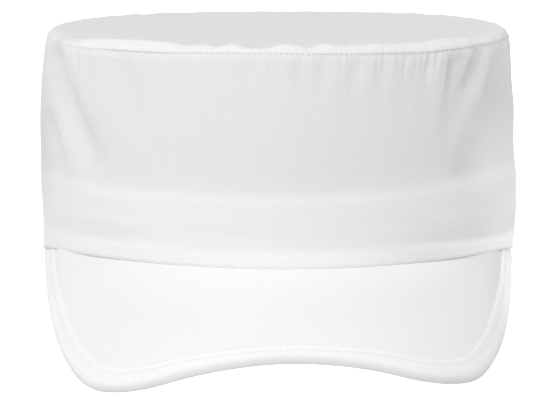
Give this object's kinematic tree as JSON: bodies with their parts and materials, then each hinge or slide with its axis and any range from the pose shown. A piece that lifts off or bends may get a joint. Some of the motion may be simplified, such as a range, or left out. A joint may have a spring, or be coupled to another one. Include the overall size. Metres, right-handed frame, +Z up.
{
  "type": "painter cap",
  "caption": "White cotton painter cap with a tall cylindrical crown, a flat sewn top, an inner sweatband and a curved stiffened peak, standing on its rim and peak.",
  "frame": {"origin": "on the surface that the cap stands on, under the middle of its bounding box", "axes": "+Z up from the surface, -Y towards the front edge of the peak, +X to the viewer's right when facing the peak"},
  "size_m": [0.1902, 0.255, 0.1227],
  "materials": {
    "crown_cotton": "white plain-weave cotton",
    "top_cotton": "white plain-weave cotton",
    "band_cotton": "white plain-weave cotton tape",
    "peak_cotton": "white plain-weave cotton over a stiffener"
  },
  "bodies": {
    "root": {"crown_wall": "crown_cotton", "top_panel": "top_cotton", "sweatband": "band_cotton", "peak": "peak_cotton"}
  },
  "joints": []
}
